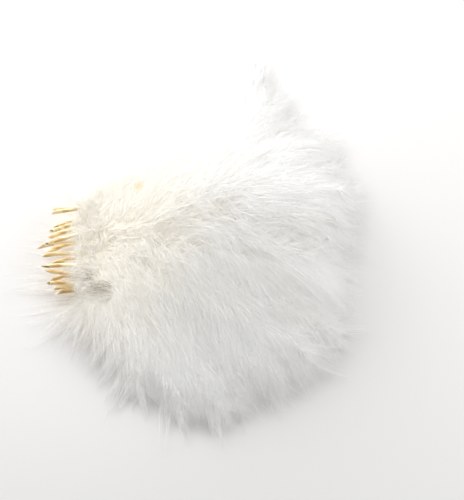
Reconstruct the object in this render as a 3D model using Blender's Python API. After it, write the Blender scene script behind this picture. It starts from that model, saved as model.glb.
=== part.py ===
"""A bunch of strung marabou feathers: sixteen white down feathers, fanned out and lying on a flat surface.

Run it with: blender --background --python part.py

Each feather is one piece: a bare quill with an open end, and behind it the soft vane, which ends in pointed
locks of barbs. The quills lie side by side in a row, where a sewing thread is laced round them. The feathers
lie in five tiers under one soft crown, and within a tier each keeps to its own side of its neighbours.

+X runs from the quills to the tips, +Y to the back, +Z up. The surface that the bunch lies on is z = 0, and
the origin is under the middle of the bunch. Sizes are in millimetres, and the meshes are scaled to metres.
"""

import math
from collections import namedtuple

import bmesh
import bpy
from mathutils import Vector

MM = 0.001

# The heap that the tiers make: its height is a soft crown on a low edge.
TIERS = 5
EDGE_HEIGHT = 7.5
CROWN_RISE = 40.0
CROWN = Vector((4.0, 8.0))
SPREAD_TO_QUILLS = 38.0
SPREAD_TO_TIPS = 58.0
SPREAD_TO_FRONT = 46.0
SPREAD_TO_BACK = 44.0

# The row of quills, and the line along which the thread is laced.
STITCH_X = -51.5
ROW_MIDDLE_Y = 5.0
QUILL_LOWEST = 3.6
QUILL_PITCH = 2.3
QUILL_RADIUS = 0.9
RACHIS_RADIUS = 0.6
COLLAR_RADIUS = 0.7
BACK_LOCK_WIDTH = 1.6
HOLLOW_DEPTH = 2.5
PATH_STEPS = 90

# The vane of one feather, in rings of points from the quill to the tip. Every second ring is a lock's point.
SIDES = 8
VANE_RINGS = 25
VANE_START_X = -45.5
TIP_SIDE_LOCK = 17.0
TIP_LOCK_LENGTH = 12.0
NOTCH_SHARE = 0.56
SHORTEST_LOCK = 1.6
LOCK_GAP = 1.4
FIRST_SWEEP = 85.0
MIDDLE_SWEEP = 58.0
TIP_SWEEP = 36.0

# Thickness: a share of the tier's room, up to a most. Nothing lies on the top tier, so it is fuller.
TIER_GAP = 0.2
CENTRE_SHARE = 0.58
MOST_AT_CENTRE = 5.0
TOP_FULLNESS = 1.6
FLANK_SHARE = 0.7
LOCK_RIDGE = 1.25
GROOVE = 0.8
EDGE_LIFT = 0.2

# The stringing thread and its knot.
THREAD_RADIUS = 0.22
THREAD_CLEARANCE = 0.5
PLY_SPACING = 1.1
COLUMN_BREAK = 3.0
KNOT_RADIUS = 0.75
TAIL_LENGTH = 5.0

# tier, counted from the surface; where the quill's open end is; how far that end is splayed to the front and
# lifted, beyond the thread; how far the shaft runs before it turns, and how far it rises to the back on the
# way; the tip's bearing and reach from the middle of the stitched row; the first and the middle locks' lengths
# on the right and on the left; and the bearing and length of the one lock that points back, under the quills.
# Angles are in degrees.
Feather = namedtuple(
    "Feather", "tier quill_x quill_y splay lift run rise bearing reach right left back_bearing back_length"
)
FEATHERS = [
    Feather(0, -59.3, -12.7, 1.0, 0.0, 26, 2, -65, 78, (25, 29), (30, 30), 189, 40),
    Feather(1, -60.5, -11.9, 1.5, 0.0, 28, 2, -57, 94, (30, 31), (30, 34), 226, 34),
    Feather(3, -62.8, -12.5, 1.5, 1.8, 28, 3, -49, 102, (30, 32), (30, 34), 238, 31),
    Feather(0, -61.5, -6.8, 2.5, 0.4, 30, 4, -42, 105, (30, 34), (30, 34), 181, 40),
    Feather(2, -64.1, -5.2, -1.5, 0.0, 30, 4, -34, 112, (30, 34), (30, 34), 250, 2),
    Feather(4, -64.0, -5.6, 1.2, 1.2, 30, 4, -27, 118, (30, 34), (30, 34), 250, 2),
    Feather(1, -62.5, -0.7, 3.0, 0.0, 30, 4, -19, 124, (30, 34), (30, 34), 200, 2),
    Feather(3, -64.5, 1.3, 0.3, 0.0, 30, 4, -10, 119, (30, 34), (30, 34), 200, 2),
    Feather(0, -64.0, 6.4, 4.0, 0.0, 30, 4, -2, 120, (30, 34), (30, 34), 183, 34),
    Feather(2, -67.0, 5.7, 2.5, 1.8, 30, 4, 6, 123, (30, 34), (30, 32), 160, 2),
    Feather(4, -64.1, 4.6, 3.5, 1.5, 30, 4, 12, 126, (30, 34), (28, 28), 160, 2),
    Feather(1, -64.3, 11.8, 3.2, 0.0, 34, 4, 19, 126, (30, 34), (26, 22), 160, 2),
    Feather(3, -62.8, 12.0, 3.5, 1.2, 42, 3, 26.5, 125, (30, 32), (25, 18), 160, 2),
    Feather(0, -61.9, 17.7, 4.0, 0.0, 52, 0, 35, 119, (30, 30), (27, 16), 172, 22),
    Feather(4, -61.5, 20.1, 2.0, 0.5, 66, -1, 42, 121, (30, 28), (25, 13), 130, 2),
    Feather(2, -62.8, 23.7, 0.5, 0.6, 78, -3, 48.5, 126, (28, 24), (27, 12), 128, 26),
]


def heap_height(x, y):
    """Height of the heap's top surface over a point of the plan."""
    across = SPREAD_TO_QUILLS if x < CROWN.x else SPREAD_TO_TIPS
    deep = SPREAD_TO_FRONT if y < CROWN.y else SPREAD_TO_BACK
    return EDGE_HEIGHT + CROWN_RISE * math.exp(-(((x - CROWN.x) / across) ** 2) - ((y - CROWN.y) / deep) ** 2)


def tier_floor(tier, x, y):
    """Underside of a tier. The lowest lies flat on the surface."""
    if tier == 0:
        return 0.0
    return heap_height(x, y) * tier / TIERS + TIER_GAP


def centre_thickness(x, y):
    return min(CENTRE_SHARE * heap_height(x, y) / TIERS, MOST_AT_CENTRE)


def beyond_thread(feather, x):
    """How far out the bare quill is past the thread: 0 at the thread and 1 at its open end, eased in."""
    share = (STITCH_X + 2.0 - x) / (STITCH_X + 2.0 - feather.quill_x)
    return max(share, 0.0) ** 1.4


def plan_path(feather):
    """The feather's shaft in plan, from its open end to the root of its tip lock, as close-set points."""
    end = Vector((feather.quill_x, feather.quill_y + feather.splay))
    bend = end + Vector((feather.run, feather.rise))
    bearing = math.radians(feather.bearing)
    shaft_reach = feather.reach - TIP_LOCK_LENGTH
    tip = Vector((STITCH_X, ROW_MIDDLE_Y)) + shaft_reach * Vector((math.cos(bearing), math.sin(bearing)))
    points = []
    for step in range(PATH_STEPS + 1):
        t = step / PATH_STEPS
        point = (1 - t) ** 2 * end + 2 * t * (1 - t) * bend + t**2 * tip
        point.y -= feather.splay * beyond_thread(feather, point.x)
        points.append(point)
    return points


def along(path, distance):
    """(point, heading) at a distance along a path."""
    for start, stop in zip(path, path[1:]):
        step = stop - start
        if distance <= step.length or stop is path[-1]:
            return start + step.normalized() * distance, step.normalized()
        distance -= step.length


def length_of(path):
    return sum((stop - start).length for start, stop in zip(path, path[1:]))


def distance_at_x(path, x):
    """How far along the path it first reaches x."""
    gone = 0.0
    for start, stop in zip(path, path[1:]):
        if stop.x >= x:
            return gone + (x - start.x)
        gone += (stop - start).length
    return gone


def distance_to(point, path):
    return min((point - place).length for place in path)


def blend(low, high, share):
    """Smooth change from low to high as share goes from 0 to 1."""
    share = min(max(share, 0.0), 1.0)
    return low + (high - low) * share * share * (3 - 2 * share)


def turned(direction, degrees):
    angle = math.radians(degrees)
    cos, sin = math.cos(angle), math.sin(angle)
    return Vector((direction.x * cos - direction.y * sin, direction.x * sin + direction.y * cos))


def lock_end(root, direction, length, own, rivals):
    """Where a lock ends: it is shortened until it keeps clear of the half-way line to a feather of its tier."""
    while length > SHORTEST_LOCK:
        end = root + direction * length
        if all(distance_to(end, own) + LOCK_GAP < distance_to(end, rival) for rival in rivals):
            return end
        length *= 0.94
    return root + direction * SHORTEST_LOCK


def quill_height(feather, x, y):
    """Height of the shaft's middle: stacked evenly at the thread, and then inside its own tier."""
    stacked = QUILL_LOWEST + QUILL_PITCH * feather.tier + feather.lift * beyond_thread(feather, x)
    in_tier = tier_floor(feather.tier, x, y) + 0.5 * centre_thickness(x, y)
    return blend(stacked, in_tier, (x - STITCH_X) / (VANE_START_X - STITCH_X + 3.0))


def quill_ring(feather, path, distance, radius):
    """Eight points round the bare shaft."""
    point, heading = along(path, distance)
    beside = turned(heading, -90)
    ring = []
    for side in range(SIDES):
        angle = 2 * math.pi * side / SIDES
        place = point + beside * radius * math.cos(angle)
        height = quill_height(feather, point.x, point.y) + radius * math.sin(angle)
        ring.append(Vector((place.x, place.y, height)))
    return ring


def lock_length(lengths, share):
    first, middle = lengths
    return blend(blend(first, middle, share / 0.4), TIP_SIDE_LOCK, (share - 0.35) / 0.65)


def vane_ring(feather, path, rivals, number, start, length):
    """Eight points across the vane: its edge, flank and middle above, and the same below."""
    share = number / (VANE_RINGS - 1)
    root, heading = along(path, start + (length - start) * share)
    is_lock = number % 2 == 1
    sweep = blend(blend(FIRST_SWEEP, MIDDLE_SWEEP, share / 0.4), TIP_SWEEP, (share - 0.4) / 0.6)
    ends = []
    for sign, lengths in ((-1, feather.right), (1, feather.left)):
        reach = lock_length(lengths, share) * (1.0 if is_lock else NOTCH_SHARE)
        ends.append(lock_end(root, turned(heading, sign * sweep), reach, path, rivals))
    right, left = ends
    relief = LOCK_RIDGE if is_lock else GROOVE
    fullness = TOP_FULLNESS if feather.tier == TIERS - 1 else 1.0
    ring = []
    for side in range(SIDES):
        angle = 2 * math.pi * side / SIDES
        edge = right if math.cos(angle) > 0 else left
        outward = abs(math.cos(angle))
        if outward > 0.9:
            place, lift = edge, 0.0
        elif outward > 0.1:
            place, lift = root.lerp(edge, 0.5), FLANK_SHARE * relief
        else:
            place, lift = root, 1.0
        height = tier_floor(feather.tier, place.x, place.y)
        if outward > 0.9:
            height += EDGE_LIFT if feather.tier else 0.0
        elif math.sin(angle) > 0:
            height += lift * fullness * centre_thickness(place.x, place.y)
        ring.append(Vector((place.x, place.y, height)))
    return ring


def collar_ring(feather, path, distance):
    """The ring where the vane begins. Its underside is drawn out into the lock that points back."""
    ring = quill_ring(feather, path, distance, COLLAR_RADIUS)
    point, heading = along(path, distance)
    bearing = math.radians(feather.back_bearing)
    back = Vector((math.cos(bearing), math.sin(bearing)))
    beside = turned(back, 90)
    for side, reach, spread in ((5, 0.4, -1), (6, 1.0, 0), (7, 0.4, 1)):
        place = point + back * feather.back_length * reach + beside * spread * BACK_LOCK_WIDTH
        ring[side] = Vector((place.x, place.y, tier_floor(feather.tier, place.x, place.y)))
    return ring


def feather_rings(feather):
    """Every ring of one feather, from the open end of the quill to the last before the tip, and both ends."""
    path = plan_path(feather)
    rivals = [plan_path(other) for other in FEATHERS if other.tier == feather.tier and other is not feather]
    vane_start = distance_at_x(path, VANE_START_X)
    length = length_of(path)
    rings = [quill_ring(feather, path, 0.0, QUILL_RADIUS * 0.9)]
    for share, radius in ((0.2, QUILL_RADIUS), (0.65, QUILL_RADIUS * 0.95), (0.92, RACHIS_RADIUS)):
        rings.append(quill_ring(feather, path, vane_start * share, radius))
    rings.append(collar_ring(feather, path, vane_start))
    for number in range(VANE_RINGS):
        rings.append(vane_ring(feather, path, rivals, number, vane_start + 1.5, length))
    hollow, _ = along(path, HOLLOW_DEPTH)
    tip_root, heading = along(path, length)
    tip = lock_end(tip_root, heading, TIP_LOCK_LENGTH, path, rivals)
    first = Vector((hollow.x, hollow.y, quill_height(feather, hollow.x, hollow.y)))
    tip_lift = EDGE_LIFT if feather.tier else 0.0
    last = Vector((tip.x, tip.y, tier_floor(feather.tier, tip.x, tip.y) + tip_lift))
    return first, rings, last


def make_material(name, colour, roughness):
    material = bpy.data.materials.new(name)
    material.use_nodes = True
    shader = material.node_tree.nodes["Principled BSDF"]
    shader.inputs["Base Color"].default_value = (*colour, 1.0)
    shader.inputs["Roughness"].default_value = roughness
    shader.inputs["Metallic"].default_value = 0.0
    return material


def make_feather(name, feather, material, collection):
    """A UV sphere whose rings are laid out along the feather: one pole in the quill's hollow, one at the tip."""
    first, rings, last = feather_rings(feather)
    origin = Vector((feather.quill_x, feather.quill_y, 0.0))
    bm = bmesh.new()
    ring_count = len(rings) + 1
    bmesh.ops.create_uvsphere(bm, u_segments=SIDES, v_segments=ring_count, radius=1.0)
    for vertex in bm.verts:
        ring = round(math.acos(max(-1.0, min(1.0, vertex.co.z))) / math.pi * ring_count)
        side = round(math.atan2(vertex.co.y, vertex.co.x) / (2 * math.pi) * SIDES) % SIDES
        if ring == 0:
            place = first
        elif ring == ring_count:
            place = last
        else:
            place = rings[ring - 1][side]
        vertex.co = (place - origin) * MM
    mesh = bpy.data.meshes.new(name)
    bm.to_mesh(mesh)
    bm.free()
    mesh.shade_smooth()
    mesh.set_sharp_from_angle(angle=math.radians(40))
    mesh.materials.append(material)
    feather_object = bpy.data.objects.new(name, mesh)
    feather_object.location = origin * MM
    collection.objects.link(feather_object)
    return feather_object


def quill_columns():
    """The quills at the stitched line as (y, z) pairs, grouped into the columns that they stand in."""
    crossings = []
    for feather in FEATHERS:
        path = plan_path(feather)
        point, _ = along(path, distance_at_x(path, STITCH_X))
        crossings.append((point.y, quill_height(feather, point.x, point.y)))
    crossings.sort()
    columns = [[crossings[0]]]
    for crossing in crossings[1:]:
        if crossing[0] - columns[-1][-1][0] > COLUMN_BREAK:
            columns.append([])
        columns[-1].append(crossing)
    return columns


def thread_route():
    """The thread's own points: over and under the columns of quills to the back, and back again between."""
    clear = QUILL_RADIUS + THREAD_RADIUS + THREAD_CLEARANCE
    columns = quill_columns()
    passes = []
    for x_side, over_first in ((-1, True), (1, False)):
        points = []
        for number, column in enumerate(columns):
            goes_over = (number % 2 == 0) == over_first
            heights = [height for _, height in column]
            middle_y = 0.5 * (column[0][0] + column[-1][0])
            half_y = 0.5 * (column[-1][0] - column[0][0]) + clear
            if goes_over:
                base, top = max(heights), max(heights) + clear
            else:
                base, top = min(heights), min(heights) - clear
            x = STITCH_X + x_side * PLY_SPACING / 2
            for angle in (165, 125, 90, 55, 15):
                across = math.cos(math.radians(angle))
                squared = math.copysign(abs(across) ** 0.6, across)
                rise = math.sin(math.radians(angle)) ** 0.6
                points.append(Vector((x, middle_y + half_y * squared, base + (top - base) * rise)))
        passes.append(points)
    out, back = passes
    knot = Vector((STITCH_X, out[0].y - 1.0, 0.5 * (out[0].z + back[0].z)))
    return knot, [knot] + out + back[::-1] + [knot]


def make_tube(name, points, collection):
    """A round thread through these points, as a closed mesh object."""
    curve = bpy.data.curves.new(f"{name}_path", "CURVE")
    curve.dimensions = "3D"
    curve.bevel_depth = THREAD_RADIUS * MM
    curve.bevel_resolution = 1
    curve.use_fill_caps = True
    spline = curve.splines.new("POLY")
    spline.points.add(len(points) - 1)
    for control, point in zip(spline.points, points):
        control.co = (*(point * MM), 1.0)
    curve_object = bpy.data.objects.new(f"{name}_path", curve)
    collection.objects.link(curve_object)
    graph = bpy.context.evaluated_depsgraph_get()
    mesh = bpy.data.meshes.new_from_object(curve_object.evaluated_get(graph))
    mesh.name = name
    bm = bmesh.new()
    bm.from_mesh(mesh)
    bmesh.ops.remove_doubles(bm, verts=bm.verts, dist=0.01 * MM)
    bmesh.ops.recalc_face_normals(bm, faces=bm.faces)
    bm.to_mesh(mesh)
    bm.free()
    bpy.data.objects.remove(curve_object)
    tube = bpy.data.objects.new(name, mesh)
    collection.objects.link(tube)
    return tube


def make_thread(material, collection, tools):
    """The lacing, with its two ends in one knot and a short tail out of it."""
    knot, route = thread_route()
    thread = make_tube("stringing_thread", route, collection)
    tail_end = knot + Vector((-TAIL_LENGTH * 0.8, -TAIL_LENGTH * 0.5, -1.5))
    tail = make_tube("thread_tail", [knot, knot.lerp(tail_end, 0.5) + Vector((0, 0, 0.4)), tail_end], tools)
    bm = bmesh.new()
    bmesh.ops.create_uvsphere(bm, u_segments=10, v_segments=6, radius=KNOT_RADIUS * MM)
    knot_mesh = bpy.data.meshes.new("thread_knot")
    bm.to_mesh(knot_mesh)
    bm.free()
    knot_object = bpy.data.objects.new("thread_knot", knot_mesh)
    knot_object.location = knot * MM
    tools.objects.link(knot_object)
    for helper in (knot_object, tail):
        helper.hide_render = True
        helper.display_type = "WIRE"
        union = thread.modifiers.new(f"join {helper.name}", "BOOLEAN")
        union.operation = "UNION"
        union.object = helper
    thread.data.materials.append(material)
    return thread


def centre_over_origin(collection):
    """Moves the bunch along the surface, so that the origin is under its middle."""
    bpy.context.view_layer.update()
    graph = bpy.context.evaluated_depsgraph_get()
    places = []
    for piece in collection.objects:
        evaluated = piece.evaluated_get(graph)
        places += [evaluated.matrix_world @ vertex.co for vertex in evaluated.data.vertices]
    shift = Vector((0.0, 0.0, 0.0))
    for axis in (0, 1):
        values = [place[axis] for place in places]
        shift[axis] = -0.5 * (min(values) + max(values))
    for piece in [*collection.objects, *[m.object for p in collection.objects for m in p.modifiers]]:
        piece.location += shift


def main():
    for old in list(bpy.data.objects):
        bpy.data.objects.remove(old, do_unlink=True)
    bunch = bpy.data.collections.new("strung_marabou_feathers")
    tools = bpy.data.collections.new("cutters")
    bpy.context.scene.collection.children.link(bunch)
    bpy.context.scene.collection.children.link(tools)
    down = make_material("white_down", (0.93, 0.92, 0.89), 0.85)
    cotton = make_material("cotton_thread", (0.88, 0.86, 0.8), 0.8)
    for number, feather in enumerate(FEATHERS, 1):
        make_feather(f"feather_{number:02d}", feather, down, bunch)
    make_thread(cotton, bunch, tools)
    centre_over_origin(bunch)


main()
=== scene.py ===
"""Strung marabou feathers: sixteen white down feathers, laced together in a row at their amber quills.

Each feather is two pieces: a quill, with the fine shaft that it runs on into, and the down, which is a
joined mesh of barbs. A twisted cotton thread is laced round the quills. Sizes are in millimetres until a mesh
is made.
"""

import math
from collections import namedtuple

import bpy
import numpy as np
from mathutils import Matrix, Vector


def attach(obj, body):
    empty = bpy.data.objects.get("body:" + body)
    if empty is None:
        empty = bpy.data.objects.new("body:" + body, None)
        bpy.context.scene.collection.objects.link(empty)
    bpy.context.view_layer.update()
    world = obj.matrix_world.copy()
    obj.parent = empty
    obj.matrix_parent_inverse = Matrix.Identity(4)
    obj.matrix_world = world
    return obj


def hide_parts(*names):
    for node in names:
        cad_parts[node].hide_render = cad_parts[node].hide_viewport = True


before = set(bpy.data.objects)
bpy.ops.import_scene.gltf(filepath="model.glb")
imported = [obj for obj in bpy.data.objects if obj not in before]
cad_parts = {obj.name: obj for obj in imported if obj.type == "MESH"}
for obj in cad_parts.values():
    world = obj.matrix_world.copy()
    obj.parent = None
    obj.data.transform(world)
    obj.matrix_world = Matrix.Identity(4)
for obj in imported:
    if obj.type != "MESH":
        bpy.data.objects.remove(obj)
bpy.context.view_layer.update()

# The heap that the feathers make.
# Five tiers of feathers lie under one soft crown, each fanned out from the row of quills. The heights and the
# feathers' lines are the solids' own, and the bunch's middle is over the frame's origin.
MM = 0.001
MIDDLE = np.array((-6.838, 12.016, 0.0))
TIERS = 5
EDGE_HEIGHT = 7.5
CROWN_RISE = 40.0
CROWN = (4.0, 8.0)
SPREAD_TO_QUILLS, SPREAD_TO_TIPS, SPREAD_TO_FRONT, SPREAD_TO_BACK = 38.0, 58.0, 46.0, 44.0
STITCH_X = -51.5
ROW_MIDDLE = np.array((STITCH_X, 5.0))
QUILL_LOWEST = 3.6
QUILL_PITCH = 2.3
QUILL_RADIUS = 0.9
PATH_STEPS = 90
HEADING_STEP = 0.8
BARE_TO_X = STITCH_X + 2.0
BARE_EASE = 1.4
VANE_START_X = -45.5
IN_TIER_FROM_X = VANE_START_X + 3.0
VANE_RINGS = 25
TIP_LOCK_LENGTH = 12.0
TIER_GAP = 0.2
BELOW_SHAFT = 0.3
CENTRE_SHARE = 0.58
MOST_AT_CENTRE = 5.0

Feather = namedtuple(
    "Feather", "tier quill_x quill_y splay lift run rise bearing reach right left back_bearing back_length"
)
FEATHERS = [
    Feather(0, -59.3, -12.7, 1.0, 0.0, 26, 2, -65, 78, (25, 29), (30, 30), 189, 40),
    Feather(1, -60.5, -11.9, 1.5, 0.0, 28, 2, -57, 94, (30, 31), (30, 34), 226, 34),
    Feather(3, -62.8, -12.5, 1.5, 1.8, 28, 3, -49, 102, (30, 32), (30, 34), 238, 31),
    Feather(0, -61.5, -6.8, 2.5, 0.4, 30, 4, -42, 105, (30, 34), (30, 34), 181, 40),
    Feather(2, -64.1, -5.2, -1.5, 0.0, 30, 4, -34, 112, (30, 34), (30, 34), 250, 2),
    Feather(4, -64.0, -5.6, 1.2, 1.2, 30, 4, -27, 118, (30, 34), (30, 34), 250, 2),
    Feather(1, -62.5, -0.7, 3.0, 0.0, 30, 4, -19, 124, (30, 34), (30, 34), 200, 2),
    Feather(3, -64.5, 1.3, 0.3, 0.0, 30, 4, -10, 119, (30, 34), (30, 34), 200, 2),
    Feather(0, -64.0, 6.4, 4.0, 0.0, 30, 4, -2, 120, (30, 34), (30, 34), 183, 34),
    Feather(2, -67.0, 5.7, 2.5, 1.8, 30, 4, 6, 123, (30, 34), (30, 32), 160, 2),
    Feather(4, -64.1, 4.6, 3.5, 1.5, 30, 4, 12, 126, (30, 34), (28, 28), 160, 2),
    Feather(1, -64.3, 11.8, 3.2, 0.0, 34, 4, 19, 126, (30, 34), (26, 22), 160, 2),
    Feather(3, -62.8, 12.0, 3.5, 1.2, 42, 3, 26.5, 125, (30, 32), (25, 18), 160, 2),
    Feather(0, -61.9, 17.7, 4.0, 0.0, 52, 0, 35, 119, (30, 30), (27, 16), 172, 22),
    Feather(4, -61.5, 20.1, 2.0, 0.5, 66, -1, 42, 121, (30, 28), (25, 13), 130, 2),
    Feather(2, -62.8, 23.7, 0.5, 0.6, 78, -3, 48.5, 126, (28, 24), (27, 12), 128, 26),
]


def heap_height(x, y):
    across = np.where(x < CROWN[0], SPREAD_TO_QUILLS, SPREAD_TO_TIPS)
    deep = np.where(y < CROWN[1], SPREAD_TO_FRONT, SPREAD_TO_BACK)
    return EDGE_HEIGHT + CROWN_RISE * np.exp(-(((x - CROWN[0]) / across) ** 2) - ((y - CROWN[1]) / deep) ** 2)


def blend(low, high, share):
    """Smooth change from low to high as share goes from 0 to 1."""
    share = np.clip(share, 0.0, 1.0)
    return low + (high - low) * share * share * (3 - 2 * share)


def turned(direction, degrees):
    angle = np.radians(degrees)
    x, y = direction[..., 0], direction[..., 1]
    return np.stack((x * np.cos(angle) - y * np.sin(angle), x * np.sin(angle) + y * np.cos(angle)), -1)


def unit(vectors):
    return vectors / np.maximum(np.linalg.norm(vectors, axis=-1, keepdims=True), 1e-9)


class Shaft:
    """A feather's shaft, from the open end of its quill to the root of its last lock."""

    def __init__(self, feather):
        self.feather = feather
        t = np.linspace(0, 1, PATH_STEPS + 1)[:, None]
        end = np.array((feather.quill_x, feather.quill_y + feather.splay))
        bend = end + (feather.run, feather.rise)
        bearing = math.radians(feather.bearing)
        reach = feather.reach - TIP_LOCK_LENGTH
        tip = ROW_MIDDLE + reach * np.array((math.cos(bearing), math.sin(bearing)))
        self.line = (1 - t) ** 2 * end + 2 * t * (1 - t) * bend + t**2 * tip
        self.line[:, 1] -= feather.splay * self.beyond_thread(self.line[:, 0])
        steps = np.linalg.norm(np.diff(self.line, axis=0), axis=1)
        self.gone = np.concatenate(([0.0], np.cumsum(steps)))
        self.length = self.gone[-1]
        half = PATH_STEPS // 2
        self.vane_start = np.interp(VANE_START_X, self.line[:half, 0], self.gone[:half])

    def beyond_thread(self, x):
        """How far out a place on the bare quill is: 0 near the thread and 1 at its open end, eased in."""
        share = (BARE_TO_X - x) / (BARE_TO_X - self.feather.quill_x)
        return np.maximum(share, 0.0) ** BARE_EASE

    def point(self, distance):
        return np.stack([np.interp(distance, self.gone, self.line[:, k]) for k in (0, 1)], -1)

    def at(self, distance):
        """(points, headings) in plan, at distances from the open end."""
        ahead = self.point(distance + HEADING_STEP)
        behind = self.point(distance - HEADING_STEP)
        return self.point(distance), unit(ahead - behind)

    def height(self, x, y):
        """Height of the shaft's middle: stacked evenly at the thread, and then inside its own tier."""
        tier = self.feather.tier
        stacked = QUILL_LOWEST + QUILL_PITCH * tier + self.feather.lift * self.beyond_thread(x)
        room = heap_height(x, y) / TIERS
        thickness = np.minimum(CENTRE_SHARE * room, MOST_AT_CENTRE)
        in_tier = room * tier + TIER_GAP * (tier > 0) + BELOW_SHAFT * thickness
        return blend(stacked, in_tier, (x - STITCH_X) / (IN_TIER_FROM_X - STITCH_X))


SHAFTS = [Shaft(feather) for feather in FEATHERS]


# Materials.
# The down is matt white, and creamier towards the quills. A quill is amber horn, which pales into the ivory
# shaft. The thread is unbleached cotton.
class Value:
    """A node's output, so that shader maths reads as arithmetic."""

    def __init__(self, tree, socket):
        self.tree, self.socket = tree, socket

    def node(self, kind, inputs=(), output=0, **settings):
        made = self.tree.nodes.new(kind)
        for name, value in settings.items():
            setattr(made, name, value)
        for name, value in dict(inputs).items():
            if isinstance(value, Value):
                self.tree.links.new(value.socket, made.inputs[name])
            else:
                made.inputs[name].default_value = value
        return Value(self.tree, made.outputs[output])

    def math(self, operation, other):
        return self.node("ShaderNodeMath", {0: self, 1: other}, operation=operation)

    def __add__(self, other):
        return self.math("ADD", other)

    def __mul__(self, other):
        return self.math("MULTIPLY", other)

    def __rsub__(self, other):
        return (self * -1.0) + other

    def ramp(self, low, high):
        """0 at low and 1 at high, eased."""
        inputs = {"Value": self, "From Min": low, "From Max": high}
        return self.node("ShaderNodeMapRange", inputs, interpolation_type="SMOOTHSTEP")

    def mix(self, first, second):
        """A colour from first to second as this goes from 0 to 1."""
        inputs = {0: self, 6: first, 7: second}
        return self.node("ShaderNodeMix", inputs, output=2, data_type="RGBA", clamp_factor=True)

    def to(self, shader, name):
        self.tree.links.new(self.socket, shader.inputs[name])


def start_material(name, roughness, **constants):
    """(material, its shader, the place on the piece, and its UV as two Values)."""
    material = bpy.data.materials.new(name)
    material.use_nodes = True
    tree = material.node_tree
    shader = tree.nodes["Principled BSDF"]
    shader.inputs["Roughness"].default_value = roughness
    for key, value in constants.items():
        shader.inputs[key.replace("_", " ")].default_value = value
    coordinates = tree.nodes.new("ShaderNodeTexCoord")
    place = Value(tree, coordinates.outputs["Object"])
    uv = place.node("ShaderNodeSeparateXYZ", {0: Value(tree, coordinates.outputs["UV"])})
    across = Value(tree, uv.socket.node.outputs[0])
    along = Value(tree, uv.socket.node.outputs[1])
    return material, shader, place, across, along


WHITE = (0.97, 0.97, 0.965, 1)
CREAM = (0.96, 0.93, 0.86, 1)
GREY = (0.9, 0.897, 0.887, 1)
TAUPE = (0.46, 0.41, 0.34, 1)
STAIN = (0.95, 0.83, 0.66, 1)
PALE_AMBER = (0.97, 0.84, 0.52, 1)
DEEP_AMBER = (0.66, 0.42, 0.15, 1)
HONEY = (0.95, 0.88, 0.7, 1)
IVORY = (0.94, 0.93, 0.89, 1)
CUT_HORN = (0.93, 0.86, 0.66, 1)
PAINTED_HOLLOW_SHADE = (0.3, 0.17, 0.06, 1)
SHADED_COTTON = (0.8, 0.78, 0.72, 1)
PALE_COTTON = (0.93, 0.92, 0.88, 1)

# Metres from the origin, as the shaders read them.
HUB = (-0.035, 0.0, 0.02)
STAIN_PLACE = (-0.0185, 0.0150, 0.0235)

# The glow stands for light that real down and horn scatter inside themselves.
DOWN_GLOW = 0.13
QUILL_GLOW = 0.1


def distance_from(place, point):
    return place.node("ShaderNodeVectorMath", {0: place, 1: point}, output=1, operation="DISTANCE")


down_material, shader, place, tint, along = start_material("marabou_down", 0.8, Emission_Strength=DOWN_GLOW)
from_hub = distance_from(place, HUB)
creamy = (1.0 - from_hub.ramp(0.01, 0.075)) * 0.75 + (1.0 - along.ramp(0.0, 0.35)) * 0.25
dusty = tint.ramp(-1.0, 0.0)
# The tint runs from grey to white. It differs at random, and it is also painted shade: lower for the barbs
# inside the tiers, and lower still for the last feathers' inner barbs.
colour = dusty.mix(TAUPE, creamy.mix(tint.mix(GREY, WHITE), CREAM))
from_stain = distance_from(place, STAIN_PLACE)
colour = (1.0 - from_stain.ramp(0.0005, 0.0035)).mix(colour, STAIN)
colour.to(shader, "Base Color")
colour.to(shader, "Emission Color")

quill_material, shader, place, around, along = start_material(
    "quill_horn", 0.35, Coat_Weight=0.3, Emission_Strength=QUILL_GLOW)
stretched = place.node("ShaderNodeMapping", {0: place, 3: (120, 900, 900)})
streaks = place.node("ShaderNodeTexNoise", {"Vector": stretched, "Scale": 1.0, "Detail": 3.0})
amber = streaks.ramp(0.34, 0.6).mix(PALE_AMBER, DEEP_AMBER)
paling = along.ramp(0.04, 0.1).mix(amber, HONEY)
shell = along.ramp(0.12, 0.3).mix(paling, IVORY)
cut_rim = along.ramp(0.0, 0.006).mix(CUT_HORN, shell)
# The recess in the open end is painted dark brown, as painted shade inside the hollow.
horn = along.ramp(-0.012, -0.001).mix(PAINTED_HOLLOW_SHADE, cut_rim)
horn.to(shader, "Base Color")
horn.to(shader, "Emission Color")
(streaks * 0.2 + 0.25).to(shader, "Roughness")

thread_material, shader, place, around, along = start_material("cotton_thread", 0.85)
fibres = place.node("ShaderNodeTexNoise", {"Vector": place, "Scale": 2500.0, "Detail": 2.0})
fibres.mix(SHADED_COTTON, PALE_COTTON).to(shader, "Base Color")


# The quills.
# Each is a bare horny tube with an open, slanting end, about 12 mm of which shows before the down begins. It
# runs on as the feather's fine shaft, and tapers to nothing under the last lock.
def piece_from(name, vertices, faces, uv, material, node, smooth=True):
    """A mesh object from arrays in millimetres. faces is a list of (count by corners) index arrays."""
    mesh = bpy.data.meshes.new(name)
    mesh.vertices.add(len(vertices))
    mesh.vertices.foreach_set("co", ((vertices - MIDDLE) * MM).astype(np.float32).ravel())
    corners = np.concatenate([group.ravel() for group in faces])
    counts = np.concatenate([np.full(len(group), group.shape[1]) for group in faces])
    mesh.loops.add(len(corners))
    mesh.loops.foreach_set("vertex_index", corners.astype(np.int32))
    mesh.polygons.add(len(counts))
    mesh.polygons.foreach_set("loop_start", (np.cumsum(counts) - counts).astype(np.int32))
    mesh.uv_layers.new(name="along").data.foreach_set("uv", uv[corners].astype(np.float32).ravel())
    mesh.update(calc_edges=True)
    if smooth:
        mesh.shade_smooth()
    mesh.materials.append(material)
    made = bpy.data.objects.new(name, mesh)
    bpy.context.scene.collection.objects.link(made)
    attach(made, "root")
    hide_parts(node)


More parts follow.
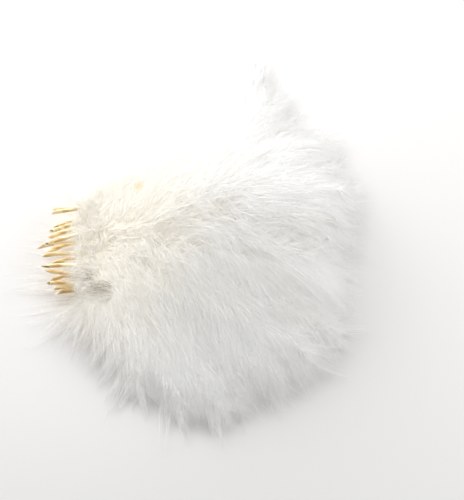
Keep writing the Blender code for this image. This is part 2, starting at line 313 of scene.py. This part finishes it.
def loft(rings, first, last):
    """(vertices, faces) of a closed skin over rings of points, with a pole at each end."""
    count, sides = rings.shape[:2]
    vertices = np.concatenate((rings.reshape(-1, 3), first[None], last[None]))
    ring = np.arange(sides)
    after = (ring + 1) % sides
    base = (np.arange(count - 1) * sides)[:, None]
    above = base + sides
    quads = np.stack((base + ring, base + after, above + after, above + ring), -1).reshape(-1, 4)
    foot_pole, head_pole = count * sides, count * sides + 1
    last_ring = (count - 1) * sides
    foot = np.stack((np.full(sides, foot_pole), after, ring), -1)
    head = np.stack((np.full(sides, head_pole), ring + last_ring, after + last_ring), -1)
    return vertices, [quads, np.concatenate((foot, head))]


QUILL_SIDES = 12
HOLLOW_DEPTH = 4.0
SLANT_REACH = 2.4
LEAST_HEIGHT = 0.05
UV_LENGTH = 130.0
HOLLOW_RADII = np.array((0.45, 0.66, 0.72))
RADIUS_SHARES = (0.93, 1.0, 0.95, 0.62, 0.34, 0.07)

for number, shaft in enumerate(SHAFTS, 1):
    rng = np.random.default_rng(100 + number)
    slant = rng.uniform(0.6, 1.9)
    slant_angle = rng.uniform(0, 2 * math.pi)
    vane, end = shaft.vane_start, shaft.length + 4
    bare_rings, shaft_rings = np.linspace(2.5, vane, 12), np.linspace(vane + 2, end, 34)
    outer = np.concatenate(([0.0, 0.4, 1.2], bare_rings, shaft_rings))
    radii = QUILL_RADIUS * np.interp(outer, [0, 1.2, vane * 0.65, vane, vane + 30, end], RADIUS_SHARES)
    stations = np.concatenate(([HOLLOW_DEPTH, HOLLOW_DEPTH * 0.5, 0.15], outer))
    radii = np.concatenate((QUILL_RADIUS * HOLLOW_RADII, radii))
    points, headings = shaft.at(stations)
    heights = shaft.height(points[:, 0], points[:, 1])
    beside = turned(headings, -90)
    angles = np.linspace(0, 2 * math.pi, QUILL_SIDES, endpoint=False)
    rings = np.zeros((len(stations), QUILL_SIDES, 3))
    fading = np.exp(-stations / SLANT_REACH)[:, None, None]
    tilt = np.cos(angles - slant_angle)[None, :, None] * slant * fading
    rings[..., :2] = points[:, None] + beside[:, None] * (radii[:, None] * np.cos(angles))[..., None]
    rings[..., :2] += headings[:, None] * tilt
    rings[..., 2] = np.maximum(heights[:, None] + radii[:, None] * np.sin(angles), LEAST_HEIGHT)
    first = np.array((*points[0], heights[0]))
    last = rings[-1].mean(0) + np.array((*headings[-1], 0.0)) * 0.5
    vertices, faces = loft(rings, first, last)
    uv = np.zeros((len(vertices), 2))
    uv[:-2, 0] = np.tile(angles / (2 * math.pi), len(stations))
    uv[:-2, 1] = np.repeat(np.concatenate((-stations[:3], outer)) / UV_LENGTH, QUILL_SIDES)
    uv[-2:, 1] = -0.03, 1.0
    faces = [group[:, ::-1] for group in faces]
    name, node = f"quill_{number:02d}", f"feather_{number:02d}"
    piece_from(name, vertices, faces, uv, quill_material, node)


# The down.
# Marabou barbs are long, limp and loose, and each carries a fringe of shorter fluff. They grow from both
# sides of the shaft, and here each is a closed, tapering strand that curves to its lock's tip.
VANE_STRANDS = (420, 480, 510, 530, 530)
COVER_STRANDS = (200, 340, 800, 1100, 1350)
TUFT = 8
SPILL = 5.0
CUFF_HEIGHT = 15.5
RIDGE = np.array(((-46.0, 5.0), (8.0, 9.0)))
SIDE_AT_TIP = 20.0
LEAST_REACH = 3.0
LEAST_LEVEL = 0.3
FRINGE_RADIUS = 0.06
FRINGE_LEAST_LEVEL = 0.15
BARE_ABOVE_QUILLS = 1.2
PEAK_BEARING = 45
DUSTY_FEATHER = 3

# The heap's outline: how far it reaches from the middle of the row of quills, at each bearing.
RIM_BEFORE = {-180: 40, -150: 42, -120: 50, -95: 60, -78: 70}
RIM_AFTER = {55: 118, 62: 70, 80: 40, 110: 32, 150: 30, 180: 40}
RIM_BEARINGS = [*RIM_BEFORE, *(feather.bearing for feather in FEATHERS), *RIM_AFTER]
RIM_REACHES = [*RIM_BEFORE.values(), *(feather.reach for feather in FEATHERS), *RIM_AFTER.values()]


def room_for(root, direction, length, own, rivals):
    """How far a barb may reach before it is past the next feather of its tier."""
    while length > LEAST_REACH:
        end = root + direction * length
        mine = np.linalg.norm(own - end, axis=1).min()
        if all(mine < np.linalg.norm(rival - end, axis=1).min() + SPILL for rival in rivals):
            return length
        length *= 0.93
    return LEAST_REACH


def to_rim(points):
    """How far in from the heap's rim points are, along the line from the middle of the row of quills."""
    away = points - ROW_MIDDLE
    bearing = np.degrees(np.arctan2(away[..., 1], away[..., 0]))
    return np.interp(bearing, RIM_BEARINGS, RIM_REACHES) - np.linalg.norm(away, axis=-1)


def soft_height(x, y):
    """The heap's height, rounded down at its rim."""
    return heap_height(x, y) * blend(0.3, 1.0, to_rim(np.stack((x, y), -1)) / 20.0)


def shortened(root, direction, reach, margin):
    """Reaches cut down until their tips are in from the rim by margin."""
    for _ in range(24):
        reach = np.where(to_rim(root + direction * reach[:, None]) < margin, reach * 0.94, reach)
    return reach


def lock_length(lengths, share):
    """A lock's length, by how far along the vane it grows."""
    first, middle = lengths
    return blend(blend(first, middle, share / 0.4), SIDE_AT_TIP, (share - 0.35) / 0.65)


def off_ridge(points):
    """Unit directions straight down the crown's slope, away from its ridge."""
    along_ridge = RIDGE[1] - RIDGE[0]
    share = np.clip(((points - RIDGE[0]) @ along_ridge) / (along_ridge @ along_ridge), 0, 1)
    return unit(points - (RIDGE[0] + share[..., None] * along_ridge))


def sweep_at(share):
    """The angle between a barb and its shaft, which closes towards the vane's end."""
    return blend(blend(85.0, 58.0, share / 0.4), 36.0, (share - 0.4) / 0.6)


def per_strand(values):
    """One row of values for each strand, from one for each tuft."""
    return np.repeat(values, TUFT, axis=0)


def tuft_lines(root, leave, arrive, tip, points, spread, rng, loose=0.22):
    """Plans of tufts of strands, each about one guide that leaves its root and arrives at its tip."""
    total = len(root) * TUFT
    t = np.linspace(0, 1, points)[None, :, None]
    reach = np.linalg.norm(tip - root, axis=-1)[:, None, None]
    a = root[:, None]
    d = tip[:, None]
    b = a + leave[:, None] * reach * 0.38
    c = d - arrive[:, None] * reach * 0.38
    guide = (1 - t) ** 3 * a + 3 * t * (1 - t) ** 2 * b + 3 * t**2 * (1 - t) * c + t**3 * d
    guide = per_strand(guide)
    beside = turned(unit(np.gradient(guide, axis=1)), 90)
    t = t[..., 0]
    wide = 0.25 + 1.5 * np.sin(math.pi * t**0.85) ** 0.8 + 0.55 * t
    wide = wide * per_strand(reach[:, 0] / 34.0)
    sideways = rng.uniform(-spread, spread, (total, 1)) * wide + rng.normal(0, loose, (total, points)) * t
    plan = guide + beside * sideways[..., None]
    return plan[:, :1] + (plan - plan[:, :1]) * rng.uniform(0.58, 1.08, (total, 1, 1))


def lie_in_tier(shaft, plan, low, high, arch, rng):
    """Plans lifted into the feather's own tier of the heap."""
    total, points = plan.shape[:2]
    t = np.linspace(0, 1, points)[None]
    x, y = plan[..., 0], plan[..., 1]
    tufts = total // TUFT
    end_level = per_strand(rng.uniform(low, high, (tufts, 1))) + rng.normal(0, 0.1, (total, 1))
    start = shaft.height(x[:, :1], y[:, :1])
    room = soft_height(x, y) / TIERS
    level = np.minimum(shaft.feather.tier + end_level, 0.87 * TIERS) * room
    z = blend(start / room[:, :1] * room, level, t * 1.3)
    z = z + per_strand(rng.uniform(0, arch, (tufts, 1))) * np.sin(math.pi * t)
    z = z + rng.normal(0, 0.3, (total, points)) * t
    return np.stack((x, y, np.maximum(z, LEAST_LEVEL)), -1)


def lie_on_top(shaft, plan, rng):
    """Plans lifted over the tiers above, onto the top of the heap."""
    total, points = plan.shape[:2]
    t = np.linspace(0, 1, points)[None]
    x, y = plan[..., 0], plan[..., 1]
    tufts = total // TUFT
    level = per_strand(rng.uniform(0.9, 0.955, (tufts, 1))) + rng.normal(0, 0.008, (total, 1))
    droop = 1 - per_strand(rng.uniform(0, 0.2, (tufts, 1))) * t**3
    surface = soft_height(x, y) * level * droop
    z = blend(shaft.height(x[:, :1], y[:, :1]), surface, 0.1 + t * 2.4)
    z = z + rng.normal(0, 0.1, (total, points)) * t
    return np.stack((x, y, np.maximum(z, LEAST_LEVEL)), -1)


def skin_strands(lines, radius, tints, rng):
    """(vertices, faces, uv) of closed three-sided strands along lines. tints is a tuft's range of tint."""
    count, points = lines.shape[:2]
    tangent = unit(np.gradient(lines, axis=1))
    beside = unit(np.cross(tangent, (0.05, 0.08, 1.0)))
    above = np.cross(beside, tangent)
    t = np.linspace(0, 1, points)
    taper = radius[:, None] * (1 - t[:-1]) ** 0.7
    angles = rng.uniform(0, 2 * math.pi, (count, 1, 1)) + np.arange(3) * 2 * math.pi / 3
    round_line = np.cos(angles)[..., None] * beside[:, :-1, None]
    round_line = round_line + np.sin(angles)[..., None] * above[:, :-1, None]
    ring = lines[:, :-1, None] + taper[..., None, None] * round_line
    vertices = np.concatenate((ring.reshape(count, -1, 3), lines[:, -1:]), axis=1)
    size = vertices.shape[1]
    base = (np.arange(count) * size)[:, None, None]
    level = (np.arange(points - 2) * 3)[None, :, None]
    k = np.arange(3)[None, None]
    n = (k + 1) % 3
    low, high = base + level, base + level + 3
    quads = np.stack((low + k, high + k, high + n, low + n), -1)
    top = (points - 2) * 3
    base, k, n = base[:, 0], k[0], n[0]
    head = np.stack((base + top + n, base + top + k, base + top + 3 + k * 0), -1).reshape(-1, 3)
    foot = np.concatenate((base, base + 1, base + 2), -1)
    tint = per_strand(rng.uniform(*tints, (count // TUFT, 1))) + rng.uniform(-0.2, 0.2, (count, 1))
    tint = np.repeat(np.clip(tint, 0.0, 1.0), size, axis=1)
    along = np.tile(np.append(np.repeat(t[:-1], 3), 1.0), (count, 1))
    uv = np.stack((tint, along), -1).reshape(-1, 2)
    return vertices.reshape(-1, 3), [quads.reshape(-1, 4), head, foot], uv


def skin_fringe(lines, each, tints, rng):
    """(vertices, faces, uv) of the short fluff on the strands: one slender spike for each fibre."""
    count, points = lines.shape[:2]
    lines = np.repeat(lines, each, axis=0)
    total = count * each
    t = rng.uniform(0.1, 0.97, total)
    step = np.minimum((t * (points - 1)).astype(int), points - 2)
    share = (t * (points - 1) - step)[:, None]
    row = np.arange(total)
    start, stop = lines[row, step], lines[row, step + 1]
    root = start + (stop - start) * share
    tangent = unit(stop - start)
    out = unit(np.cross(tangent, unit(rng.normal(0, 1, (total, 3)))))
    length = rng.uniform(1.0, 2.8, total)[:, None] * (1.1 - 0.5 * t[:, None])
    tip = root + (tangent * 0.86 + out * 0.51) * length
    tip[:, 2] = np.maximum(tip[:, 2], FRINGE_LEAST_LEVEL)
    heading = unit(tip - root)
    beside = unit(np.cross(heading, tangent + 0.01))
    above = np.cross(beside, heading)
    angles = np.arange(3) * 2 * math.pi / 3
    round_line = np.cos(angles)[:, None] * beside[:, None] + np.sin(angles)[:, None] * above[:, None]
    ring = root[:, None] + FRINGE_RADIUS * round_line
    vertices = np.concatenate((ring, tip[:, None]), axis=1)
    base = (np.arange(total) * 4)[:, None]
    faces = np.concatenate([base + corner for corner in ((0, 1, 3), (1, 2, 3), (2, 0, 3), (2, 1, 0))])
    tint = np.repeat(rng.uniform(*tints, (total, 1)), 4, axis=1)
    along = np.repeat(t[:, None], 4, axis=1)
    return vertices.reshape(-1, 3), [faces], np.stack((tint, along), -1).reshape(-1, 2)


def joined(parts):
    """One (vertices, faces, uv) from several."""
    gathered, offset = [], 0
    for vertices, faces, _ in parts:
        gathered += [group + offset for group in faces]
        offset += len(vertices)
    return np.concatenate([part[0] for part in parts]), gathered, np.concatenate([part[2] for part in parts])


def vane_lines(shaft, rng):
    """The barbs that stay in the feather's own tier, in tufts down both sides of the shaft."""
    feather = shaft.feather
    rivals = [other.line for other in SHAFTS if other.feather.tier == feather.tier and other is not shaft]
    start = shaft.vane_start + 1.0
    shares = np.linspace(0, 1, VANE_RINGS)
    places, headings = shaft.at(start + (shaft.length - start) * shares)
    tufts = VANE_STRANDS[feather.tier] // (2 * TUFT)
    gathered = []
    for side, lengths in ((-1, feather.right), (1, feather.left)):
        directions = turned(headings, side * sweep_at(shares))
        room = [room_for(place, direction, lock_length(lengths, share), shaft.line, rivals)
                for place, direction, share in zip(places, directions, shares)]
        share = (np.arange(tufts) + rng.random(tufts)) / tufts
        root, heading = shaft.at(start + (shaft.length - start) * share)
        tooth = np.abs(((share * (VANE_RINGS - 1) + 1) % 2) - 1)
        reach = np.interp(share, shares, room) * (1.0 - 0.15 * tooth) * rng.uniform(0.82, 1.1, tufts)
        sweep = sweep_at(share) + rng.normal(0, 6, tufts)
        direction = turned(heading, side * sweep)
        margin = rng.uniform(-4, 3, tufts) + np.interp(feather.bearing, [-60, -45], [3, 0])
        reach = shortened(root, direction, reach, margin)
        tip = root + direction * reach[:, None]
        leave = turned(heading, side * (sweep * 1.2 + rng.normal(0, 5, tufts)))
        arrive = turned(direction, rng.normal(0, 9, tufts) - side * 6.0)
        plan = tuft_lines(root, leave, arrive, tip, 5, 1.0, rng)
        gathered.append(lie_in_tier(shaft, plan, 0.1, 1.0, 1.0, rng))
    return gathered


def cover_lines(shaft, rng):
    """Long barbs that have worked up to the top of the heap and lie down its slope, across the shafts."""
    feather = shaft.feather
    tufts = COVER_STRANDS[feather.tier] // (2 * TUFT)
    start = shaft.vane_start + 3.0
    gathered = []
    for side, lengths in ((-1, feather.right), (1, feather.left)):
        share = ((np.arange(tufts) + rng.random(tufts)) / tufts) ** 0.9
        root, heading = shaft.at(start + (shaft.length - start) * share)
        at_peak = side > 0 and feather.bearing > 30
        reach = rng.uniform(28, 56, tufts) * blend(0.5, 1.0, share / 0.3) * (0.7 if at_peak else 1.0)
        sideways = lock_length(lengths, share) * rng.uniform(0.2, 1.0, tufts)
        sweep = np.degrees(np.arcsin(np.clip(sideways / reach, 0, 0.9)))
        sweep = sweep + rng.normal(0, 4, tufts)
        slope = off_ridge(root + heading * 5.0)
        follow = rng.uniform(0.25, 0.75, (tufts, 1)) * (0.35 if at_peak else 1.0)
        direction = unit(turned(heading, side * sweep) * (1 - follow) + slope * follow)
        margin = 18.0 * rng.random(tufts) ** 1.3 - 3.0 + 6.0 * (feather.bearing < -50)
        reach = np.maximum(shortened(root, direction, reach, margin), 9.0)
        tip = root + direction * reach[:, None]
        leave = turned(heading, side * (sweep * 1.3 + rng.normal(0, 8, tufts)))
        arrive = turned(unit(direction + slope * 0.7), rng.normal(0, 5, tufts))
        gathered.append(lie_on_top(shaft, tuft_lines(root, leave, arrive, tip, 6, 1.5, rng, 0.12), rng))
    return gathered


def tip_lines(shaft, rng):
    """The last lock, past the shaft's end. The last feather's is the longest, and makes the peak."""
    tufts, longest, to_left = (20, 22, 0) if shaft.feather.bearing < PEAK_BEARING else (40, 26, 21)
    before = rng.uniform(1, 22, tufts)
    root, heading = shaft.at(shaft.length - before)
    turn = rng.uniform(-46, 46, tufts) + to_left
    tip = root + turned(heading, turn) * (rng.uniform(9, longest, tufts) + 0.75 * before)[:, None]
    plan = tuft_lines(root, turned(heading, turn * 0.9), turned(heading, turn * 1.1), tip, 5, 1.6, rng)
    return [lie_in_tier(shaft, plan, 0.0, 0.9, 1.0, rng)]


def back_lines(shaft, rng):
    """The first lock, which points back under the quills."""
    feather = shaft.feather
    if feather.back_length < 5:
        return []
    tufts = 12
    root, _ = shaft.at(shaft.vane_start + rng.uniform(0, 3, tufts))
    bearing = math.radians(feather.back_bearing)
    back = np.array((math.cos(bearing), math.sin(bearing)))
    turn = rng.normal(0, 13, tufts)
    reach = feather.back_length * rng.uniform(0.55, 1.04, tufts)
    direction = turned(np.tile(back, (tufts, 1)), turn)
    tip = root + direction * reach[:, None]
    plan = tuft_lines(root, turned(direction, turn * 0.3), turned(direction, -turn), tip, 5, 1.0, rng)
    return [lie_in_tier(shaft, plan, 0.1, 0.6, 0.0, rng)]


def base_lines(shaft, rng):
    """Short fluff round the foot of the vane, part of which falls back over the thread and the quills."""
    tufts = 44
    falls_back = np.arange(tufts) < 20
    beyond = np.where(falls_back, rng.uniform(-4.5, 5.0, tufts), 20.0 * rng.random(tufts) ** 1.4)
    root, heading = shaft.at(shaft.vane_start + beyond)
    onward = unit(turned(heading, rng.uniform(-60, 60, tufts)) * 0.6 + off_ridge(root) * 0.7)
    backward = turned(heading, 180 + rng.normal(0, 55, tufts))
    direction = np.where(falls_back[:, None], backward, onward)
    reach = np.where(falls_back, rng.uniform(3.5, 9.5, tufts), rng.uniform(10, 19, tufts))
    tip = root + direction * reach[:, None]
    plan = tuft_lines(root, direction, turned(direction, rng.normal(0, 8, tufts)), tip, 5, 7.0, rng)
    total, points = plan.shape[:2]
    t = np.linspace(0, 1, points)[None]
    x, y = plan[..., 0], plan[..., 1]
    start = shaft.height(x[:, :1], y[:, :1])
    level = np.where(falls_back, rng.uniform(0.65, 1.04, tufts), rng.uniform(0.88, 0.96, tufts))
    surface = np.maximum(heap_height(x, y), CUFF_HEIGHT) * per_strand(level[:, None])
    surface = np.maximum(surface, start + BARE_ABOVE_QUILLS)
    z = blend(start, surface, 0.25 + 2.4 * t) - 2.2 * t**3 + rng.normal(0, 0.15, (total, points)) * t
    return [np.stack((x, y, np.maximum(z, LEAST_LEVEL)), -1)]


def dusty_lines(shaft, rng):
    """A lock of limp, greyish barbs that lies back over the front quills."""
    tufts = 12
    root, heading = shaft.at(shaft.vane_start + rng.uniform(4.0, 17.0, tufts))
    root = root + np.stack((rng.uniform(-1, 1, tufts), rng.uniform(1.5, 6.5, tufts)), -1)
    direction = turned(np.tile((-1.0, -0.02), (tufts, 1)), rng.normal(0, 7, tufts))
    tip = root + direction * rng.uniform(12.0, 24.0, tufts)[:, None]
    plan = tuft_lines(root, direction, turned(direction, rng.normal(0, 20, tufts)), tip, 6, 4.0, rng)
    t = np.linspace(0, 1, 6)[None]
    x, y = plan[..., 0], plan[..., 1]
    over = np.maximum(np.maximum(heap_height(x, y), CUFF_HEIGHT - 1.0), shaft.height(x, y) + 1.6)
    z = blend(over - 3.0, over + 0.8, 3.0 * t) - 2.5 * t**3 + rng.normal(0, 0.3, plan.shape[:2])
    return np.concatenate((plan, z[..., None]), -1)


for number, shaft in enumerate(SHAFTS, 1):
    rng = np.random.default_rng(number)
    inner = np.concatenate(vane_lines(shaft, rng) + tip_lines(shaft, rng))
    outer = np.concatenate(cover_lines(shaft, rng))
    foot = np.concatenate(base_lines(shaft, rng) + back_lines(shaft, rng))
    # The barbs inside the tiers take greyer tints than the cover, which is painted shade deep in the heap.
    # The last feathers' inner barbs are greyer still, which is painted shade on the peak.
    shaded_inner_tints = (0.2, 1.0) if shaft.feather.bearing < PEAK_BEARING else (0.0, 0.6)
    parts = [skin_strands(inner, rng.uniform(0.11, 0.19, len(inner)), shaded_inner_tints, rng),
             skin_fringe(inner, 1, shaded_inner_tints, rng),
             skin_strands(outer, rng.uniform(0.09, 0.17, len(outer)), (0.3, 1.0), rng),
             skin_fringe(outer, 3, (0.4, 1.0), rng),
             skin_strands(foot, rng.uniform(0.07, 0.12, len(foot)), (0.6, 1.0), rng),
             skin_fringe(foot, 3, (0.7, 1.0), rng)]
    if number == DUSTY_FEATHER:
        lines = dusty_lines(shaft, rng)
        dusty = [skin_strands(lines, rng.uniform(0.08, 0.13, len(lines)), (0.0, 1.0), rng),
                 skin_fringe(lines, 5, (0.0, 1.0), rng)]
        # The material takes a tint below 0 as dusty.
        for _, _, uv in dusty:
            uv[:, 0] = -uv[:, 0]
        parts += dusty
    vertices, faces, uv = joined(parts)
    name, node = f"down_{number:02d}", f"feather_{number:02d}"
    piece_from(name, vertices, faces, uv, down_material, node, smooth=False)


# The stringing thread.
# Three plies of cotton, twisted together. It is laced over and under the groups of quills to the back of the
# row and back again, and its ends are knotted at the front.
THREAD_RADIUS = 0.22
CLEAR = QUILL_RADIUS + THREAD_RADIUS + 0.5
PLY_SPACING = 1.1
COLUMN_BREAK = 3.0
TWIST = 1.5
PLIES = 3
PLY_OFFSET = 0.115
PLY_RADIUS = 0.125
POINT_SPACING = 0.3
KNOT_SIZE = 0.42
TAIL = (-4.0, -2.5, -1.5)

crossings = []
for shaft in SHAFTS:
    line = shaft.line[: PATH_STEPS // 2]
    y = float(np.interp(STITCH_X, line[:, 0], line[:, 1]))
    crossings.append((y, float(shaft.height(np.array(STITCH_X), np.array(y)))))
crossings.sort()
columns = [[crossings[0]]]
for crossing in crossings[1:]:
    if crossing[0] - columns[-1][-1][0] > COLUMN_BREAK:
        columns.append([])
    columns[-1].append(crossing)

passes = []
for x_side, over_first in ((-1, True), (1, False)):
    points = []
    for index, column in enumerate(columns):
        over = (index % 2 == 0) == over_first
        heights = [height for _, height in column]
        middle_y = 0.5 * (column[0][0] + column[-1][0])
        half_y = 0.5 * (column[-1][0] - column[0][0]) + CLEAR
        base = max(heights) if over else min(heights)
        top = base + CLEAR if over else base - CLEAR
        for angle in (165, 125, 90, 55, 15):
            across = math.cos(math.radians(angle))
            squared = math.copysign(abs(across) ** 0.6, across)
            rise = math.sin(math.radians(angle)) ** 0.6
            points.append((STITCH_X + x_side * PLY_SPACING / 2, middle_y + half_y * squared,
                           base + (top - base) * rise))
    passes.append(points)
out, back = passes
knot = (STITCH_X, out[0][1] - 1.0, 0.5 * (out[0][2] + back[0][2]))
route = np.array([knot] + out + back[::-1] + [knot])


def smooth_line(points, spacing):
    """The line through points, rounded a little, at even spacing."""
    gone = np.concatenate(([0.0], np.cumsum(np.linalg.norm(np.diff(points, axis=0), axis=1))))
    even = np.linspace(0, gone[-1], max(int(gone[-1] / spacing), 4))
    line = np.stack([np.interp(even, gone, points[:, k]) for k in range(3)], -1)
    for _ in range(5):
        line[1:-1] = 0.25 * line[:-2] + 0.5 * line[1:-1] + 0.25 * line[2:]
    return line


def twisted(points, plies, turns_per_mm):
    """Closed skins of the plies of a thread along points."""
    line = smooth_line(points, POINT_SPACING)
    tangent = unit(np.gradient(line, axis=0))
    beside = unit(np.cross(tangent, (1.0, 0.02, 0.05)))
    above = np.cross(beside, tangent)
    gone = np.arange(len(line)) * POINT_SPACING
    angles = np.linspace(0, 2 * math.pi, 6, endpoint=False)
    parts = []
    for ply in range(plies):
        turn = gone * turns_per_mm * 2 * math.pi + ply * 2 * math.pi / plies
        centre = line + PLY_OFFSET * (np.cos(turn)[:, None] * beside + np.sin(turn)[:, None] * above)
        sideways = np.cos(angles)[None, :, None] * beside[:, None]
        upward = np.sin(angles)[None, :, None] * above[:, None]
        ring = centre[:, None] + PLY_RADIUS * (sideways + upward)
        vertices, faces = loft(ring, centre[0], centre[-1])
        uv = np.zeros((len(vertices), 2))
        uv[:-2, 1] = np.repeat(gone, 6) / 100
        parts.append((vertices, [group[:, ::-1] for group in faces], uv))
    return parts


knot = np.array(knot)
tail_end = knot + TAIL
tail = np.array((knot, 0.5 * (knot + tail_end) + (0, 0, 0.4), tail_end))
t = np.linspace(0, 2 * math.pi, 60)[:, None]
knot_x = np.sin(t) + 1.1 * np.sin(2 * t)
knot_y = 0.9 * np.cos(t) - 0.9 * np.cos(2 * t)
loops = knot + KNOT_SIZE * np.concatenate((knot_x, knot_y, 1.2 * np.sin(3 * t)), axis=1)
parts = []
for points in (route, tail, loops):
    parts += twisted(points, PLIES, 1 / TWIST)
vertices, faces, uv = joined(parts)
name, node = "stringing_thread_twist", "stringing_thread"
piece_from(name, vertices, faces, uv, thread_material, node)


# The surface, the light and the camera.
# A plain white surface under three soft lamps, the strongest of them behind on the left. The left side is
# overexposed, as the photograph is.
PAPER = (0.9, 0.888, 0.882, 1)
HALF = 2.0
Lamp = namedtuple("Lamp", "name size energy place")
LAMPS = [
    Lamp("key", 0.6, 2.25, (-0.15, 0.34, 0.24)),
    Lamp("side", 0.5, 1.4, (-0.45, 0.1, 0.2)),
    Lamp("fill", 0.5, 1.3, (0.38, -0.02, 0.32)),
]
SKY = (1.0, 0.99, 0.98, 1)
SKY_STRENGTH = 0.2

floor_mesh = bpy.data.meshes.new("floor")
corners = [(-HALF, -HALF, 0), (HALF, -HALF, 0), (HALF, HALF, 0), (-HALF, HALF, 0)]
floor_mesh.from_pydata(corners, [], [(0, 1, 2, 3)])
floor = bpy.data.objects.new("floor", floor_mesh)
bpy.context.scene.collection.objects.link(floor)
floor_material = bpy.data.materials.new("paper_white")
floor_material.use_nodes = True
floor_shader = floor_material.node_tree.nodes["Principled BSDF"]
floor_shader.inputs["Base Color"].default_value = PAPER
floor_shader.inputs["Roughness"].default_value = 0.9
floor_mesh.materials.append(floor_material)

for values in LAMPS:
    lamp = bpy.data.lights.new(values.name, "AREA")
    lamp.shape = "DISK"
    lamp.size = values.size
    lamp.energy = values.energy
    lamp_object = bpy.data.objects.new(values.name, lamp)
    lamp_object.location = values.place
    lamp_object.rotation_mode = "QUATERNION"
    lamp_object.rotation_quaternion = (-lamp_object.location).to_track_quat("-Z", "Y")
    bpy.context.scene.collection.objects.link(lamp_object)

world = bpy.data.worlds.new("studio")
world.use_nodes = True
sky = world.node_tree.nodes["Background"]
sky.inputs["Color"].default_value = SKY
sky.inputs["Strength"].default_value = SKY_STRENGTH
bpy.context.scene.world = world

ELEVATION = math.radians(65.0)
DISTANCE = 0.62
FRAME_HEIGHT = 0.215
SENSOR = 36.0
TARGET = Vector((0.0206, -0.0034, 0.0))
camera = bpy.data.cameras.new("camera")
camera.sensor_fit = "VERTICAL"
camera.sensor_height = SENSOR
camera.lens = SENSOR * DISTANCE / FRAME_HEIGHT
camera.clip_start, camera.clip_end = 0.01, 10
camera_object = bpy.data.objects.new("camera", camera)
back = Vector((0, -math.cos(ELEVATION), math.sin(ELEVATION)))
camera_object.location = TARGET + back * DISTANCE
camera_object.rotation_mode = "QUATERNION"
camera_object.rotation_quaternion = (-back).to_track_quat("-Z", "Y")
bpy.context.scene.collection.objects.link(camera_object)
bpy.context.scene.camera = camera_object

bpy.context.scene.view_settings.view_transform = "Standard"
bpy.context.scene.view_settings.exposure = 0.0
bpy.context.scene.cycles.diffuse_bounces = 12

bpy.context.view_layer.update()
